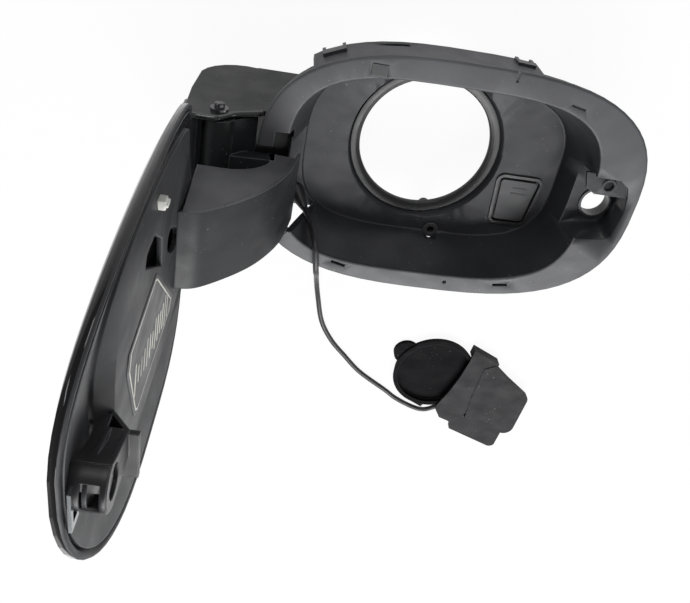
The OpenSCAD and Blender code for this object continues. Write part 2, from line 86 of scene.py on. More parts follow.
def object_noise(nodes, links, scale, detail, stretch=(1.0, 1.0, 1.0)):
    place = nodes.new("ShaderNodeTexCoord")
    turn = nodes.new("ShaderNodeMapping")
    turn.inputs["Scale"].default_value = stretch
    noise = nodes.new("ShaderNodeTexNoise")
    noise.inputs["Scale"].default_value = scale
    noise.inputs["Detail"].default_value = detail
    links.new(place.outputs["Object"], turn.inputs["Vector"])
    links.new(turn.outputs["Vector"], noise.inputs["Vector"])
    return noise.outputs["Fac"]


def ranged(nodes, links, value, low, high, to_low, to_high):
    step = nodes.new("ShaderNodeMapRange")
    for socket, number in (("From Min", low), ("From Max", high),
                           ("To Min", to_low), ("To Max", to_high)):
        step.inputs[socket].default_value = number
    links.new(value, step.inputs["Value"])
    return step.outputs["Result"]


def blended(nodes, links, factor, colour_a, colour_b):
    mix = nodes.new("ShaderNodeMix")
    mix.data_type = "RGBA"
    links.new(factor, mix.inputs["Factor"])
    for socket, colour in (("A", colour_a), ("B", colour_b)):
        target = [s for s in mix.inputs if s.name == socket and s.type == "RGBA"][0]
        if isinstance(colour, tuple):
            target.default_value = (*colour, 1.0)
        else:
            links.new(colour, target)
    return [s for s in mix.outputs if s.type == "RGBA"][0]


def moulded(name, colour, roughness, grain=0.0008, depth=0.00007, edge=0.0008,
            cloud=0.20, dust=0.25, spread=0.07, gloss=0.5, edge_highlight=0.85):
    """Moulded plastic or rubber: a fine spark-eroded grain, cloudy colour and sheen, specks of
    dust, and edges that are shaded round, with a painted highlight that lightens every sharp
    edge."""
    cloud_scale, speck_scale, patch_scale, sheen_scale = 26.0, 620.0, 45.0, 60.0
    dust_colour = (0.52, 0.51, 0.49)
    material, nodes, links, shader = finish(name, colour, 0.0, roughness)
    cloudy = object_noise(nodes, links, cloud_scale, 5.0)
    dark = tuple(c * (1.0 - cloud) for c in colour)
    light = tuple(min(1.0, c * (1.0 + cloud)) for c in colour)
    base = blended(nodes, links, ranged(nodes, links, cloudy, 0.32, 0.68, 0.0, 1.0), dark, light)
    speck = object_noise(nodes, links, speck_scale, 1.0)
    patch = object_noise(nodes, links, patch_scale, 2.0)
    speckle = nodes.new("ShaderNodeMath")
    speckle.operation = "MULTIPLY"
    links.new(ranged(nodes, links, speck, 0.70, 0.80, 0.0, dust), speckle.inputs[0])
    links.new(ranged(nodes, links, patch, 0.42, 0.62, 0.0, 1.0), speckle.inputs[1])
    dusty = blended(nodes, links, speckle.outputs[0], base, dust_colour)
    shader.inputs["Specular IOR Level"].default_value = gloss
    rounding = nodes.new("ShaderNodeBevel")
    rounding.samples = 6
    rounding.inputs["Radius"].default_value = edge
    flat = nodes.new("ShaderNodeNewGeometry")
    turned = nodes.new("ShaderNodeVectorMath")
    turned.operation = "DOT_PRODUCT"
    links.new(rounding.outputs["Normal"], turned.inputs[0])
    links.new(flat.outputs["Normal"], turned.inputs[1])
    # Painted highlight: near every sharp edge, convex or hollow, the base colour is mixed toward
    # a much lighter copy of itself.
    painted_edge_highlight = ranged(nodes, links, turned.outputs["Value"], 0.88, 0.99, edge_highlight, 0.0)
    highlight_colour = tuple(min(1.0, c * 3.2 + 0.03) for c in colour)
    links.new(blended(nodes, links, painted_edge_highlight, dusty, highlight_colour), shader.inputs["Base Color"])
    sheen = object_noise(nodes, links, sheen_scale, 6.0, (1.0, 1.7, 0.8))
    links.new(ranged(nodes, links, sheen, 0.3, 0.7, roughness - spread, roughness + spread),
              shader.inputs["Roughness"])
    grains = object_noise(nodes, links, 1.0 / grain, 2.0)
    bump = nodes.new("ShaderNodeBump")
    bump.inputs["Strength"].default_value = 0.4
    bump.inputs["Distance"].default_value = depth
    links.new(grains, bump.inputs["Height"])
    links.new(rounding.outputs["Normal"], bump.inputs["Normal"])
    links.new(bump.outputs["Normal"], shader.inputs["Normal"])
    return material


strap_points = [Vector(p) / 1000 for p in (
    (-72.1, -47.5, 20.85), (-67.8, -50.8, 33), (-65.2, -54.5, 43.5), (-63.8, -58.5, 49.6),
    (-62.8, -63.5, 51), (-61.8, -70, 51.2), (-60.8, -76, 49.8), (-59.6, -82, 43.5),
    (-58.6, -88, 33), (-57, -98, 18), (-55, -109, 2), (-52.5, -124, -14), (-48, -146, -25),
    (-41, -172, -28.7), (-30.4, -190, -29), (-17.6, -204, -29), (-1.5, -220, -29),
    (23, -236.6, -29), (34.5, -244.9, -29), (50.5, -252.4, -28.8), (61.5, -253.5, -28),
    (72, -247, -27))]


def smooth_route(points, steps):
    ends = len(points) - 1
    slope = [(points[min(i + 1, ends)] - points[max(i - 1, 0)]) / (2 if 0 < i < ends else 1)
             for i in range(ends + 1)]
    route = []
    for i in range(ends):
        for j in range(steps):
            s = j / steps
            route.append((2 * s**3 - 3 * s**2 + 1) * points[i] + (s**3 - 2 * s**2 + s) * slope[i]
                         + (3 * s**2 - 2 * s**3) * points[i + 1] + (s**3 - s**2) * slope[i + 1])
    return route + [points[-1]]


strap_route = smooth_route(strap_points, 5)
strap_curve = bpy.data.curves.new("tether_strap_rubber", "CURVE")
strap_curve.dimensions = "3D"
strap_line = strap_curve.splines.new("POLY")
strap_line.points.add(len(strap_route) - 1)
for point, place in zip(strap_line.points, strap_route):
    point.co = (*place, 1.0)
strap_thick = 0.0039
strap_curve.bevel_depth = strap_thick / 2
strap_curve.bevel_resolution = 5
strap_curve.use_fill_caps = True
strap_rubber = moulded("strap_rubber", (0.020, 0.020, 0.022), 0.44, grain=0.0006, depth=0.00002)
strap_curve.materials.append(strap_rubber)
strap = put("tether_strap_rubber", strap_curve)
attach(strap, "frame")
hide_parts("tether_strap")


# Housing. One injection moulding in black glass-filled plastic: oval flange, skirt, bowl and
# latch pocket come out of one tool. The flange is spark-eroded matt, the bowl a finer satin.
# The flange's lighter grey is painted light on the same plastic.
def plain_piece(holder, name, place=Matrix.Identity(4)):
    """The evaluated result of a holder's modifiers as a plain mesh at its place."""
    bpy.context.view_layer.update()
    result = holder.evaluated_get(bpy.context.evaluated_depsgraph_get())
    mesh = bpy.data.meshes.new_from_object(result)
    mesh.name = name
    mesh.transform(place)
    piece = put(name, mesh)
    bpy.data.objects.remove(holder)
    return piece


def rounded_off(holder, width, segments, angle):
    """Round the edges that are sharper than an angle."""
    rounding = holder.modifiers.new("rounded", "BEVEL")
    rounding.width = width
    rounding.segments = segments
    rounding.limit_method = "ANGLE"
    rounding.angle_limit = math.radians(angle)


def beyond_flange(place):
    """True outside the flange's rim, on the skirt's side."""
    across = abs((place.x - 0.0115) / 0.1125)
    along = abs((place.y + 0.0060) / 0.0690)
    return across ** 2.8 + along ** 2.8 > 1.0


def smooth_copy(node, name, body, materials, angle=32.0, pick=None, rounded=0.0):
    """A CAD node's own shape with its loose triangles joined and its curved faces smooth. A
    pick chooses each face's material, and rounded is the radius of its edges."""
    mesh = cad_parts[node].data.copy()
    mesh.name = name
    mesh.materials.clear()
    for material in materials:
        mesh.materials.append(material)
    work = bmesh.new()
    work.from_mesh(mesh)
    bmesh.ops.remove_doubles(work, verts=work.verts, dist=2e-6)
    bmesh.ops.dissolve_degenerate(work, edges=work.edges, dist=1e-6)
    if rounded:
        bmesh.ops.dissolve_limit(work, angle_limit=math.radians(1.0), verts=work.verts,
                                 edges=work.edges)
    for face in work.faces:
        face.smooth = True
        face.material_index = pick(face) if pick else 0
    work.to_mesh(mesh)
    work.free()
    mesh.set_sharp_from_angle(angle=math.radians(angle))
    holder = put(name + "_source", mesh)
    if rounded:
        rounded_off(holder, rounded, 3, 34)
    flats = holder.modifiers.new("flats", "WEIGHTED_NORMAL")
    flats.keep_sharp = True
    piece = plain_piece(holder, name)
    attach(piece, body)
    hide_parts(node)
    return piece


bowl_satin = moulded("bowl_satin", (0.028, 0.029, 0.033), 0.42, gloss=0.30)
# Painted light: the flange is the bowl's plastic, given a lighter base colour on its up-facing
# top and outer edge.
flange_matt_lit = moulded("flange_matt_lit", (0.066, 0.067, 0.074), 0.50, depth=0.00012)
flange_back, flange_front = 0.029, 0.0465
smooth_copy(
    "housing", "housing_moulding", "frame", [bowl_satin, flange_matt_lit],
    angle=24.0,
    pick=lambda face: int(
        face.normal.z > 0.9 and face.calc_center_median().z > flange_front
        or max(corner.co.z for corner in face.verts) > flange_back
        and beyond_flange(face.calc_center_median())))

# Seal of the port opening. A soft lipped ring in black rubber, pressed into the recess round
# the hole, smooth where the charging inlet's collar meets it.
seal_black = moulded("seal_black", (0.014, 0.014, 0.015), 0.34, grain=0.0009, depth=0.00001)
smooth_copy("port_seal", "port_seal_ring", "frame", [seal_black], 40.0)

# Drain insert. A small round plug in dark plastic with a bore, pushed into the floor of the
# bowl so that rain runs out behind.
drain_grey = moulded("drain_grey", (0.05, 0.05, 0.053), 0.38, dust=0.03)
smooth_copy("drain_spout", "drain_insert", "frame", [drain_grey])

# Charge button with its bezel, switch body and return spring. The cap is a satin black moulding
# with two plain raised bars; the bezel is a thin frame round it; the spring is wound wire.
bezel_black = moulded("bezel_black", (0.022, 0.022, 0.024), 0.36, edge=0.0004)
button_black = moulded("button_black", (0.036, 0.037, 0.040), 0.46, edge=0.0005)
smooth_copy("button_bezel", "button_bezel_frame", "frame", [bezel_black])
smooth_copy("charge_button", "charge_button_cap", "button", [button_black],
            24.0, rounded=0.0003)
smooth_copy("button_switch", "button_switch_body", "frame", [bezel_black])


def drawn_steel(name, colour, roughness):
    """Bright drawn wire or stamped sheet with fine lines along it."""
    material, nodes, links, shader = finish(name, colour, 1.0, roughness)
    lines = object_noise(nodes, links, 240.0, 2.0, (1.0, 0.12, 1.0))
    links.new(ranged(nodes, links, lines, 0.3, 0.7, roughness - 0.04, roughness + 0.05),
              shader.inputs["Roughness"])
    tone = blended(nodes, links, object_noise(nodes, links, 120.0, 3.0),
                   tuple(c * 0.72 for c in colour), colour)
    links.new(tone, shader.inputs["Base Color"])
    return material


wire_steel = drawn_steel("wire_steel", (0.56, 0.57, 0.58), 0.30)


def node_piece(name, inputs, grow, material, place):
    """A piece made by Geometry Nodes. The inputs give each named input's socket and value, and
    grow adds the nodes that make its geometry from them."""
    tree = bpy.data.node_groups.new(name + "_tree", "GeometryNodeTree")
    sockets = {}
    for key, (kind, value) in inputs.items():
        sockets[key] = tree.interface.new_socket(name=key, in_out="INPUT", socket_type=kind)
        sockets[key].default_value = value
    tree.interface.new_socket(name="Geometry", in_out="OUTPUT",
                              socket_type="NodeSocketGeometry")
    nodes, links = tree.nodes, tree.links
    entry, leave = nodes.new("NodeGroupInput"), nodes.new("NodeGroupOutput")
    real = nodes.new("GeometryNodeRealizeInstances")
    paint = nodes.new("GeometryNodeSetMaterial")
    paint.inputs["Material"].default_value = material
    links.new(grow(nodes, links, entry.outputs), real.inputs["Geometry"])
    links.new(real.outputs["Geometry"], paint.inputs["Geometry"])
    links.new(paint.outputs["Geometry"], leave.inputs["Geometry"])
    holder = put(name + "_source", bpy.data.meshes.new(name + "_source"))
    modifier = holder.modifiers.new("tree", "NODES")
    modifier.node_group = tree
    for key, (kind, value) in inputs.items():
        modifier[sockets[key].identifier] = value
    return plain_piece(holder, name, place)


def swept_spiral(nodes, links, sizes):
    """A spiral swept with a round wire."""
    steps_a_turn, wire_sides = 24, 8
    spiral = nodes.new("GeometryNodeCurveSpiral")
    spiral.inputs["Resolution"].default_value = steps_a_turn
    for size, socket in (("Turns", "Rotations"), ("Radius", "Start Radius"),
                         ("Radius", "End Radius"), ("Height", "Height")):
        links.new(sizes[size], spiral.inputs[socket])
    section = nodes.new("GeometryNodeCurvePrimitiveCircle")
    section.inputs["Resolution"].default_value = wire_sides
    links.new(sizes["Wire"], section.inputs["Radius"])
    sweep = nodes.new("GeometryNodeCurveToMesh")
    sweep.inputs["Fill Caps"].default_value = True
    links.new(spiral.outputs["Curve"], sweep.inputs["Curve"])
    links.new(section.outputs["Curve"], sweep.inputs["Profile Curve"])
    return sweep.outputs["Mesh"]


def wound_spring(name, turns, radius, height, wire, material, place):
    """Coil spring, wound from round wire."""
    sizes = {"Turns": turns, "Radius": radius, "Height": height, "Wire": wire}
    inputs = {key: ("NodeSocketFloat", size) for key, size in sizes.items()}
    coil = node_piece(name, inputs, swept_spiral, material, place)
    for face in coil.data.polygons:
        face.use_smooth = True
    return coil


low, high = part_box("button_spring")
return_spring = wound_spring(
    "button_return_spring", 6.0, 0.0039, (high.z - low.z) - 0.0009, 0.0004, wire_steel,
    Matrix.Translation(((low.x + high.x) / 2, (low.y + high.y) / 2, low.z + 0.00045)))
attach(return_spring, "frame")
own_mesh(return_spring)
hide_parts("button_spring")

# Latch bush. A dark sleeve pressed into the latch hole from the front, where the bolt of the
# door latch comes through.
bush_dark = moulded("bush_dark", (0.040, 0.041, 0.044), 0.32)
smooth_copy("latch_bush", "latch_sleeve", "frame", [bush_dark])

# Clips on the skirt and the pad in the flange. The clips are stamped spring steel with a dark
# coating, and the pad is a square of closed foam, set into the flange.
clip_dark = drawn_steel("clip_dark", (0.16, 0.16, 0.17), 0.36)
smooth_copy("body_clip_left", "skirt_clip_left", "frame", [clip_dark])
smooth_copy("body_clip_right", "skirt_clip_right", "frame", [clip_dark])
pad_grey = moulded("pad_grey", (0.055, 0.056, 0.058), 0.62, grain=0.0011, depth=0.00012)
smooth_copy("flange_pad", "flange_pad_square", "frame", [pad_grey])

# Hinge box. A second moulding, welded to the housing: a plate with a glossy front lip over a
# curved pocket that holds the door's pin.
box_black = moulded("box_black", (0.016, 0.017, 0.019), 0.38, spread=0.09, gloss=0.28)
smooth_copy("hinge_box", "hinge_box_moulding", "frame", [box_black], 26.0,
            rounded=0.0006)

plate_lip = bpy.data.curves.new("plate_lip", "CURVE")
plate_lip.dimensions = "3D"
lip_line = plate_lip.splines.new("POLY")
lip_places = smooth_route([Vector((x, 0.0205, z)) for x, z in (
    (-0.1488, 0.040), (-0.149, 0.0485), (-0.1472, 0.0562), (-0.1425, 0.058), (-0.132, 0.058),
    (-0.128, 0.055), (-0.122, 0.049), (-0.113, 0.0445), (-0.106, 0.0412))], 5)
lip_line.points.add(len(lip_places) - 1)
for point, place in zip(lip_line.points, lip_places):
    point.co = (*place, 1.0)
plate_lip.bevel_depth = 0.0017
plate_lip.bevel_resolution = 4
plate_lip.use_fill_caps = True
lip_gloss = moulded("lip_gloss", (0.024, 0.025, 0.027), 0.14, grain=0.003, depth=0.00001,
                    dust=0.0, spread=0.03, gloss=0.9)
plate_lip.materials.append(lip_gloss)
lip = put("plate_lip", plate_lip)
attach(lip, "frame")

# Pin, its retaining clip and the door's spring. The pin is a turned steel rod through the hub,
# held by a push-on clip, with a torsion spring wound round it inside the hub.
pin_steel = drawn_steel("pin_steel", (0.20, 0.20, 0.21), 0.30)
smooth_copy("hinge_pin", "hinge_pin_rod", "frame", [pin_steel])
smooth_copy("pin_clip", "hinge_pin_clip", "frame", [pin_steel])
low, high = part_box("hinge_spring")
door_spring = wound_spring(
    "door_torsion_spring", 22.0, (high.x - low.x) / 2 - 0.0006, (high.y - low.y) - 0.001,
    0.0005, wire_steel,
    Matrix.Translation(((low.x + high.x) / 2, low.y + 0.0005, (low.z + high.z) / 2))
    @ Matrix.Rotation(math.radians(-90), 4, "X"))
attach(door_spring, "frame")
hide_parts("hinge_spring")

# Hinge arm and its bushes. The swan-neck arm is a thick black moulding with a raised rim along
# its outer edge and a hollow underside; pale bushes line its hub.
arm_black = moulded("arm_black", (0.018, 0.019, 0.021), 0.46, spread=0.08, gloss=0.34)
bush_pale = moulded("bush_pale", (0.10, 0.10, 0.10), 0.42)
swing = math.radians(92.5)
pivot_x, pivot_z = -0.130, 0.049
arm_top, arm_low = 0.0, -0.045
label_height = 0.0565


def opened_point(x, z):
    """A closed place, relative to the pivot, turned to where it stands with the door open."""
    return Vector((math.cos(swing) * x - math.sin(swing) * z,
                   math.sin(swing) * x + math.cos(swing) * z, 0.0))


def plan(points):
    return [Vector((x / 1000, z / 1000, 0.0)) for x, z in points]


arm_outer = smooth_route(
    [opened_point(0.0834, label_height - pivot_z)]
    + plan([(0, 80), (14, 68), (26, 54.5), (35, 40), (42, 24), (46, 8), (49, -7)]), 6)
arm_inner = smooth_route(
    plan([(30, -7), (31.5, 1), (30, 8), (24.5, 14.5), (17, 19), (8, 21)])
    + [opened_point(0.021, label_height - pivot_z)], 6)
arm_centre = Vector((0.015, 0.040, 0.0))


def drawn_in(points, gap):
    return [p - gap * (p - arm_centre).normalized() for p in points]


def ring_at(mesh, points, height):
    return [mesh.verts.new((pivot_x + p.x, height, pivot_z + p.y)) for p in points]


def joined(mesh, ring_a, ring_b, closed=True):
    count = len(ring_a)
    for i in range(count if closed else count - 1):
        k = (i + 1) % count
        mesh.faces.new((ring_a[i], ring_a[k], ring_b[k], ring_b[i]))


def turned_bar(mesh, rings, x, z, sides=40):
    """Lathed ring about an axis along Y: rings are radius and height, back to the first."""
    loops = []
    for radius, height in rings:
        loops.append([mesh.verts.new((x + radius * math.cos(math.tau * i / sides), height,
                                      z + radius * math.sin(math.tau * i / sides)))
                      for i in range(sides)])
    for a, b in zip(loops, loops[1:] + loops[:1]):
        joined(mesh, a, b)


def meshed(work, name, materials=()):
    """The finished bmesh as a mesh with its materials."""
    mesh = bpy.data.meshes.new(name)
    work.to_mesh(mesh)
    work.free()
    for material in materials:
        mesh.materials.append(material)
    return mesh


def smooth_faces(mesh, angle):
    """Smooth faces, with the edges that are sharper than an angle left sharp."""
    for face in mesh.polygons:
        face.use_smooth = True
    mesh.set_sharp_from_angle(angle=math.radians(angle))


def made_piece(work, name, body, materials, width=0.0, segments=3):
    """A closed bmesh as a piece, with rounded edges and smooth curved faces."""
    bmesh.ops.recalc_face_normals(work, faces=work.faces)
    piece = put(name, meshed(work, name, materials))
    if width:
        rounded_off(piece, width, segments, 35)
        piece = plain_piece(piece, name)
    smooth_faces(piece.data, 40)
    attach(piece, body)
    return piece


rim_wide, rim_high, arm_wall, arm_roof = 0.0030, 0.0030, 0.003, 0.006
work = bmesh.new()
outline = arm_outer + arm_inner
split = len(arm_outer)
hollow = drawn_in(outline, arm_wall)
low_ring = ring_at(work, outline, arm_low)
low_in = ring_at(work, hollow, arm_low)
roof_in = ring_at(work, hollow, arm_top - arm_roof)
top_outer = ring_at(work, arm_outer, arm_top)
rim_in_top = ring_at(work, drawn_in(arm_outer, rim_wide), arm_top)
rim_in_low = ring_at(work, drawn_in(arm_outer, rim_wide), arm_top - rim_high)
shelf_inner = ring_at(work, arm_inner, arm_top - rim_high)
joined(work, low_ring, low_in)
joined(work, low_in, roof_in)
work.faces.new(roof_in)
joined(work, low_ring[:split], top_outer, closed=False)
joined(work, top_outer, rim_in_top, closed=False)
joined(work, rim_in_top, rim_in_low, closed=False)
joined(work, low_ring[split:], shelf_inner, closed=False)
work.faces.new(rim_in_low + shelf_inner)
for outer_end, inner_end in ((split - 1, 0), (0, len(arm_inner) - 1)):
    work.faces.new((low_ring[outer_end], top_outer[outer_end], rim_in_top[outer_end],
                    rim_in_low[outer_end], shelf_inner[inner_end],
                    low_ring[split + inner_end]))
web = [work.verts.new((pivot_x + x, y, pivot_z + z)) for y in (arm_low, arm_top - rim_high)
       for x, z in ((0.007, -0.005), (0.034, -0.0065), (0.034, 0.0025), (0.007, 0.004))]
joined(work, web[:4], web[4:])
work.faces.new(web[:4])
work.faces.new(web[4:])
neck_low, neck_high = arm_top - 0.004, 0.0176
neck = [work.verts.new((pivot_x + x, y, pivot_z + z)) for y in (neck_low, neck_high)
        for x, z in ((0.0065, -0.006), (0.014, -0.0125), (0.022, -0.0135), (0.022, -0.0080),
                     (0.014, -0.0035), (0.0075, 0.0035))]
joined(work, neck[:6], neck[6:])
work.faces.new(neck[:6])
work.faces.new(neck[6:])
hub_outer, hub_bore, hub_low, hub_high = 0.009, 0.00505, -0.0478, 0.0184
turned_bar(work, [(hub_bore, hub_low), (hub_outer, hub_low), (hub_outer, hub_high),
                  (hub_bore, hub_high)], pivot_x, pivot_z)
# Painted light: the arm's grained top faces get a base colour several times lighter than the rest
# of the same black moulding, and the rim's faces a lighter, glossier one as a painted highlight.
arm_top_grain_lit = moulded("arm_top_grain_lit", (0.105, 0.106, 0.112), 0.46, grain=0.0009, depth=0.00014,
                    dust=0.4, cloud=0.34)
arm_rim_gloss_highlight = moulded("arm_rim_gloss_highlight", (0.075, 0.076, 0.081), 0.30)
arm = made_piece(work, "hinge_arm_moulding", "door",
                 [arm_black, arm_top_grain_lit, arm_rim_gloss_highlight], 0.0013, segments=4)
shelf, web_end, rim_end = arm_top - rim_high, pivot_z + 0.012, pivot_z - 0.006
# Top faces take the lit grained colour, and the rim's faces the painted highlight.
for face in arm.data.polygons:
    if face.normal.y > 0.9 and face.center.y < shelf + 0.0002 and face.center.z > web_end:
        face.material_index = 1
    elif shelf < face.center.y < arm_top + 0.0001 and face.center.z > rim_end:
        face.material_index = 2
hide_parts("hinge_arm")
smooth_copy("hub_bush_low", "hub_bush_lower", "door", [bush_pale])
smooth_copy("hub_bush_high", "hub_bush_upper", "door", [bush_pale])

# Door panel with the keeper. The panel is the black inner moulding of the door; the keeper, with
# its neck, hooked rib and curved wall, stands at the free end and takes the latch bolt.
panel_black = moulded("panel_black", (0.034, 0.035, 0.038), 0.48, gloss=0.34)
tier_black = moulded("tier_black", (0.018, 0.018, 0.020), 0.26, grain=0.0008, depth=0.00001)
hinge_line = Vector((pivot_x, 0.0, pivot_z))
door_open = (Matrix.Translation(hinge_line) @ Matrix.Rotation(-swing, 4, "Y")
             @ Matrix.Translation(-hinge_line))
door_closed = door_open.inverted()


def oval(centre, half_x, half_y, power, count=128):
    """Squared oval in the closed door's plan; power may differ on its -X half."""
    points = []
    for k in range(count):
        turn = math.tau * (k + 0.5) / count
        c, d = math.cos(turn), math.sin(turn)
        n = 2.0 / (power[0] if c < 0 else power[1])
        points.append(Vector((centre[0] + half_x * math.copysign(abs(c) ** n, c),
                              centre[1] + half_y * math.copysign(abs(d) ** n, d))))
    return points


def skin_height(p, drop):
    """Height of the closed door's outer surface over a point of its plan, less a drop."""
    return (0.0711 - 0.014 * ((p.y + 0.0099) / 0.0715) ** 2
            - 0.0048 * ((p.x - 0.0107) / 0.1155) ** 2 - drop)


def door_outline(gap):
    return oval((0.0107, -0.0099), 0.1155 + gap, 0.0715 + gap, (2.36, 2.8))


def panel_outline(gap):
    return oval((-0.005, -0.018), 0.083 + gap, 0.0435 + gap, (4.0, 4.0))


def eased(value, low, high):
    t = min(1.0, max(0.0, (value - low) / (high - low)))
    return t * t * (3 - 2 * t)


def block_foot(p):
    """Foot of the block's side wall: wide on the top side and at the free end."""
    return p + Vector((0.006 * eased(p.x, 0.060, 0.078), 0.011 * eased(p.y, -0.002, 0.024)))


def lofted(mesh, rings):
    """Closed shell through rings of opened door points, capped at both ends."""
    loops = [[mesh.verts.new(door_open @ Vector((p.x, p.y, z))) for p, z in ring]
             for ring in rings]
    for a, b in zip(loops, loops[1:]):
        joined(mesh, a, b)
    mesh.faces.new(loops[0])
    mesh.faces.new(loops[-1])


def prism(name, points, low, high):
    """Cutter: a plain prism over a polygon of the closed door's plan."""
    work = bmesh.new()
    lofted(work, [[(Vector(p), z) for p in points] for z in (low, high)])
    bmesh.ops.recalc_face_normals(work, faces=work.faces)
    return put(name, meshed(work, name))


land_drop, flange_seat, flange_thick = 0.0016, 0.0034, 0.0018
tier_drop = flange_seat + flange_thick
foot_ring = [block_foot(p) for p in panel_outline(0.002)]
tier_rim = door_outline(-0.0038)
work = bmesh.new()
lofted(work, [
    [(p, label_height) for p in panel_outline(0.0)],
    [(p, skin_height(p, tier_drop + land_drop)) for p in foot_ring],
    [(p * 1.004, skin_height(p, tier_drop)) for p in foot_ring],
    [(p, skin_height(p, tier_drop)) for p in tier_rim],
    [(p, skin_height(p, flange_seat)) for p in tier_rim],
    [(p, skin_height(p, flange_seat)) for p in panel_outline(0.0)],
    [(p, label_height + 0.0026) for p in panel_outline(-0.0026)]])
bmesh.ops.recalc_face_normals(work, faces=work.faces)
holder = put("door_panel_source", meshed(work, "door_panel_source", [tier_black, panel_black]))
arm_pocket = [(-0.008, 0.008), (0.010, 0.0205), (0.026, 0.0205), (0.0285, 0.015),
              (-0.009, -0.007)]
tilt = Matrix.Rotation(math.radians(28), 2)
bean_hole = [tuple(Vector((-0.036, -0.009)) + tilt @ p)
             for p in oval((0.0, 0.0), 0.016, 0.0065, (2.4, 2.4), 40)]
cut_low, cut_high = 0.0555, 0.0601
cutters = [prism("pocket_cutter", arm_pocket, cut_low, cut_high),
           prism("bean_cutter", bean_hole, cut_low, cut_high)]
for cutter in cutters:
    cut = holder.modifiers.new("cut", "BOOLEAN")
    cut.object = cutter
    cut.solver = "EXACT"
rounded_off(holder, 0.0006, 3, 28)
panel = plain_piece(holder, "door_inner_panel")
for cutter in cutters:
    bpy.data.objects.remove(cutter)
smooth_faces(panel.data, 35)
tier_from_y, tier_to_x = 0.012, 0.084
for face in panel.data.polygons:
    centre = door_closed @ face.center
    level = skin_height(centre, tier_drop + land_drop * 0.45)
    on_tier = centre.y > tier_from_y and centre.x < tier_to_x
    face.material_index = int(centre.z < level or not on_tier)
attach(panel, "door")
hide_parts("door_panel")
keeper_black = moulded("keeper_black", (0.018, 0.018, 0.020), 0.40, gloss=0.34, edge=0.0008)
smooth_copy("keeper_bracket", "keeper_moulding", "door", [keeper_black], 24.0,
            rounded=0.0004)
eye_x, eye_y, eye_reach, wall_thick = 0.111, -0.015, 0.0100, 0.0016
wall_levels = (0.0490, 0.0512, 0.0575, 0.0600)
window_row, window_from, window_to = 1, -22, 38
angles = [math.radians(-100 + 175 * k / 28) for k in range(29)]
work = bmesh.new()
grid = [[work.verts.new(door_open @ Vector((
    eye_x + eye_reach * math.cos(a), eye_y + eye_reach * math.sin(a),
    z if z < wall_levels[-1] else skin_height(Vector((eye_x, eye_y)), tier_drop + 0.0004))))
    for a in angles] for z in wall_levels]
for row in range(len(wall_levels) - 1):
    for k in range(len(angles) - 1):
        middle = math.degrees((angles[k] + angles[k + 1]) / 2)
        if row != window_row or not window_from < middle < window_to:
            work.faces.new((grid[row][k], grid[row][k + 1], grid[row + 1][k + 1],
                            grid[row + 1][k]))
holder = put("keeper_wall_source", meshed(work, "keeper_wall_source", [keeper_black]))
walled = holder.modifiers.new("walled", "SOLIDIFY")
walled.thickness = wall_thick
walled.offset = 0.0
walled.use_even_offset = True
rounded_off(holder, 0.0003, 2, 40)
keeper_wall = plain_piece(holder, "keeper_wall")
smooth_faces(keeper_wall.data, 35)
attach(keeper_wall, "door")

# Clips between panel and skin. One is bright stamped steel by the keeper, the other a small
# natural nylon push clip at the door's edge.
clip_bright = drawn_steel("clip_bright", (0.22, 0.23, 0.24), 0.22)
nylon = moulded("nylon", (0.62, 0.62, 0.58), 0.42, dust=0.0, cloud=0.06)
smooth_copy("skin_clip", "skin_clip_steel", "door", [clip_bright])
work = bmesh.new()
for low_y, high_y, low_z, high_z in ((0.0286, 0.0330, 0.0538, 0.0608),
                                     (0.0300, 0.0318, 0.0528, 0.0545)):
    lofted(work, [[(Vector((x, y)), z) for x, y in ((-0.002, low_y), (0.004, low_y),
                                                    (0.004, high_y), (-0.002, high_y))]
                  for z in (low_z, high_z)])
edge_clip = made_piece(work, "edge_clip_nylon", "door", [nylon], 0.0004)
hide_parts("edge_clip")

# Blank label on the panel. A dark foil plate with a pale border and plain pale bars, all bare of
# words and signs, stuck on flat.
foil_dark = moulded("foil_dark", (0.052, 0.053, 0.056), 0.46, grain=0.0012, dust=0.05,
                    gloss=0.34)
foil_pale = moulded("foil_pale", (0.725, 0.711, 0.623), 0.55, dust=0.0, cloud=0.3)
smooth_copy("label_plate", "label_foil", "door", [foil_dark])


def slanted_rows(nodes, links, sizes):
    """Plain bars of unlike lengths, on a line of points."""
    bar_size = (0.0016, 0.017, 0.00012)
    line = nodes.new("GeometryNodeMeshLine")
    line.mode = "OFFSET"
    step = nodes.new("ShaderNodeCombineXYZ")
    links.new(sizes["Rows"], line.inputs["Count"])
    links.new(sizes["Pitch"], step.inputs["X"])
    links.new(step.outputs["Vector"], line.inputs["Offset"])
    bar = nodes.new("GeometryNodeMeshCube")
    bar.inputs["Size"].default_value = bar_size
    length = nodes.new("FunctionNodeRandomValue")
    length.data_type = "FLOAT_VECTOR"
    length.inputs["Min"].default_value = (0.7, 0.35, 1.0)
    length.inputs["Max"].default_value = (1.3, 1.0, 1.0)
    links.new(sizes["Seed"], length.inputs["Seed"])
    put_on = nodes.new("GeometryNodeInstanceOnPoints")
    links.new(line.outputs["Mesh"], put_on.inputs["Points"])
    links.new(bar.outputs["Mesh"], put_on.inputs["Instance"])
    links.new(length.outputs["Value"], put_on.inputs["Scale"])
    return put_on.outputs["Instances"]


